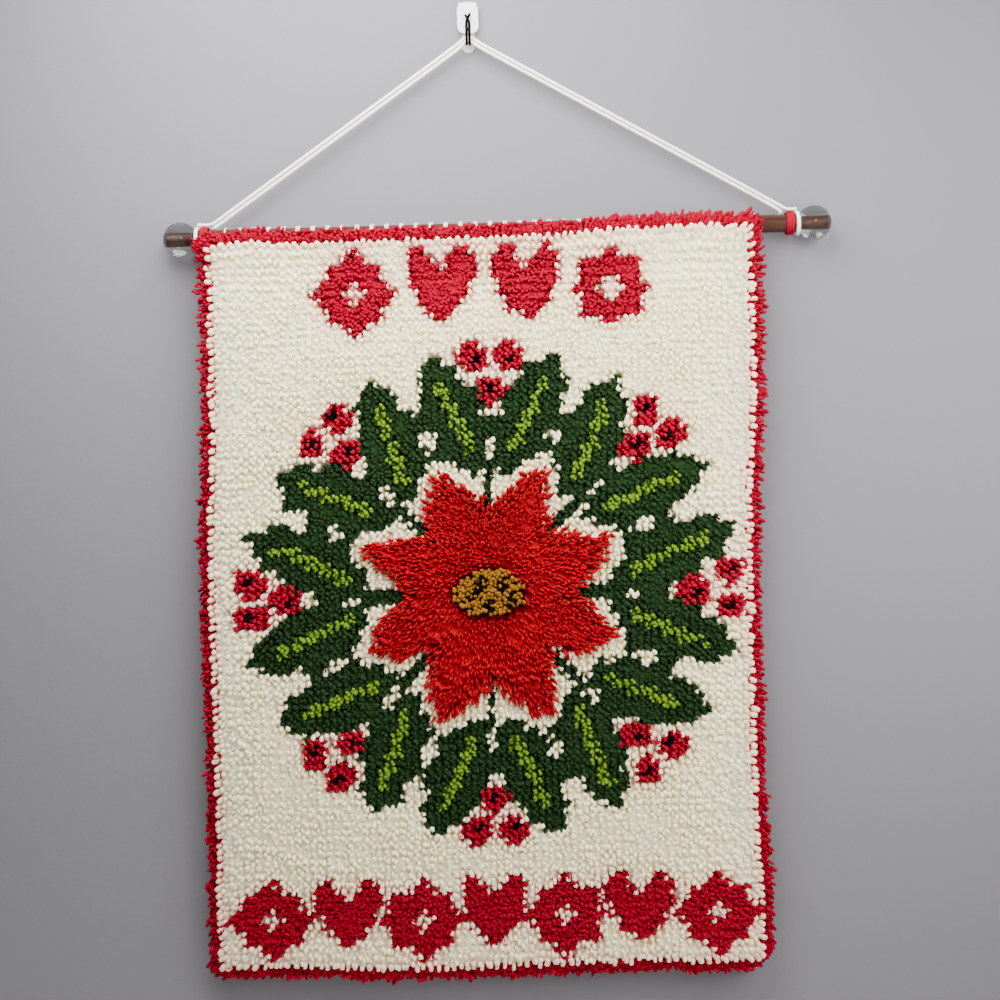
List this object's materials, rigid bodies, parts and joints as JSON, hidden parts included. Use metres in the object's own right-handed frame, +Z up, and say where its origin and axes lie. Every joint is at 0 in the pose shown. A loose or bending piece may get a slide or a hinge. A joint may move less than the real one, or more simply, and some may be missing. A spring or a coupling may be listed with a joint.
{
  "type": "latch hook wall hanging on a rod with a wall hook",
  "caption": "Shaggy latch hook wall hanging with a raised star flower, sleeved over a wooden rod with ball finials and hung by a cord from an adhesive wall hook.",
  "frame": {"origin": "middle of the adhesive strip's back face, on the wall", "axes": "+Y into the wall, +Z up, +X to the right as seen from the front; the hanging faces -Y"},
  "size_m": [0.6145, 0.0494, 0.9021],
  "materials": {
    "canvas": "matt stiff cotton canvas",
    "cream": "matt cut acrylic yarn",
    "red": "matt cut acrylic yarn",
    "gold": "matt cut acrylic yarn",
    "wood": "stained, satin",
    "clear": "clear, polished",
    "white_cord": "matt twisted cotton",
    "wire": "dark plated wire"
  },
  "bodies": {
    "root": {"canvas": "canvas", "pile_ground": "cream", "pile_border_top": "red", "pile_border_bottom": "red", "pile_border_left": "red", "pile_border_right": "red", "pile_flower": "red", "pile_flower_centre": "gold", "rod": "wood", "ball_left": "clear", "ball_right": "clear", "yarn_wrap_left": "red", "yarn_wrap_right": "red", "cord_loop_left": "white_cord", "cord_loop_right": "white_cord", "cord_upper": "white_cord", "cord_lower": "white_cord", "hook_plate": "clear", "hook_wire": "wire", "hook_strip": "clear"}
  },
  "joints": []
}
